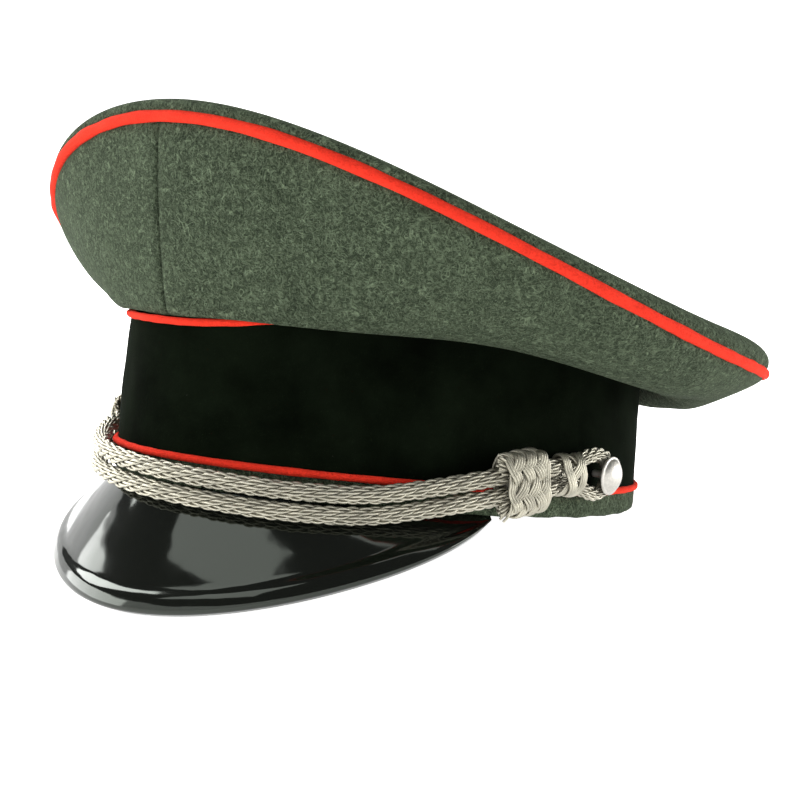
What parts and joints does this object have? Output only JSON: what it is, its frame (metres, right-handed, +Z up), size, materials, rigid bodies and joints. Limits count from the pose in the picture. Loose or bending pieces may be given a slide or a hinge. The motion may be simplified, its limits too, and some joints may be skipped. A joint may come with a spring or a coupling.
{
  "type": "peaked cap",
  "caption": "Officer-style peaked cap: wide raised wool crown, velvet band, red piping, lacquered peak and a braided chin cord on side buttons.",
  "frame": {"origin": "centre of the box's underside, on the surface that the cap stands on", "axes": "+X toward the wearer's left, +Y toward the back of the cap, +Z up"},
  "size_m": [0.2634, 0.2716, 0.1557],
  "materials": {
    "wool": "heathered grey-green wool cloth with a short felted nap",
    "velvet": "near-black dark green velvet",
    "piping": "bright red felt piping",
    "peak": "black lacquered fibre, high gloss",
    "cord": "braided matt silver metal thread",
    "button": "pebbled matt silver"
  },
  "bodies": {
    "root": {"base_strip": "wool", "cap_band": "velvet", "crown_panel_left": "wool", "crown_panel_right": "wool", "crown_top": "wool", "band_bottom_piping": "piping", "band_top_piping": "piping", "crown_piping": "piping", "peak": "peak", "chin_cord_upper": "cord", "chin_cord_lower": "cord", "slide_knot_left": "cord", "slide_knot_right": "cord", "keeper_knot_left": "cord", "keeper_knot_right": "cord", "button_loop_left": "cord", "button_loop_right": "cord", "button_left": "button", "button_right": "button"}
  },
  "joints": []
}
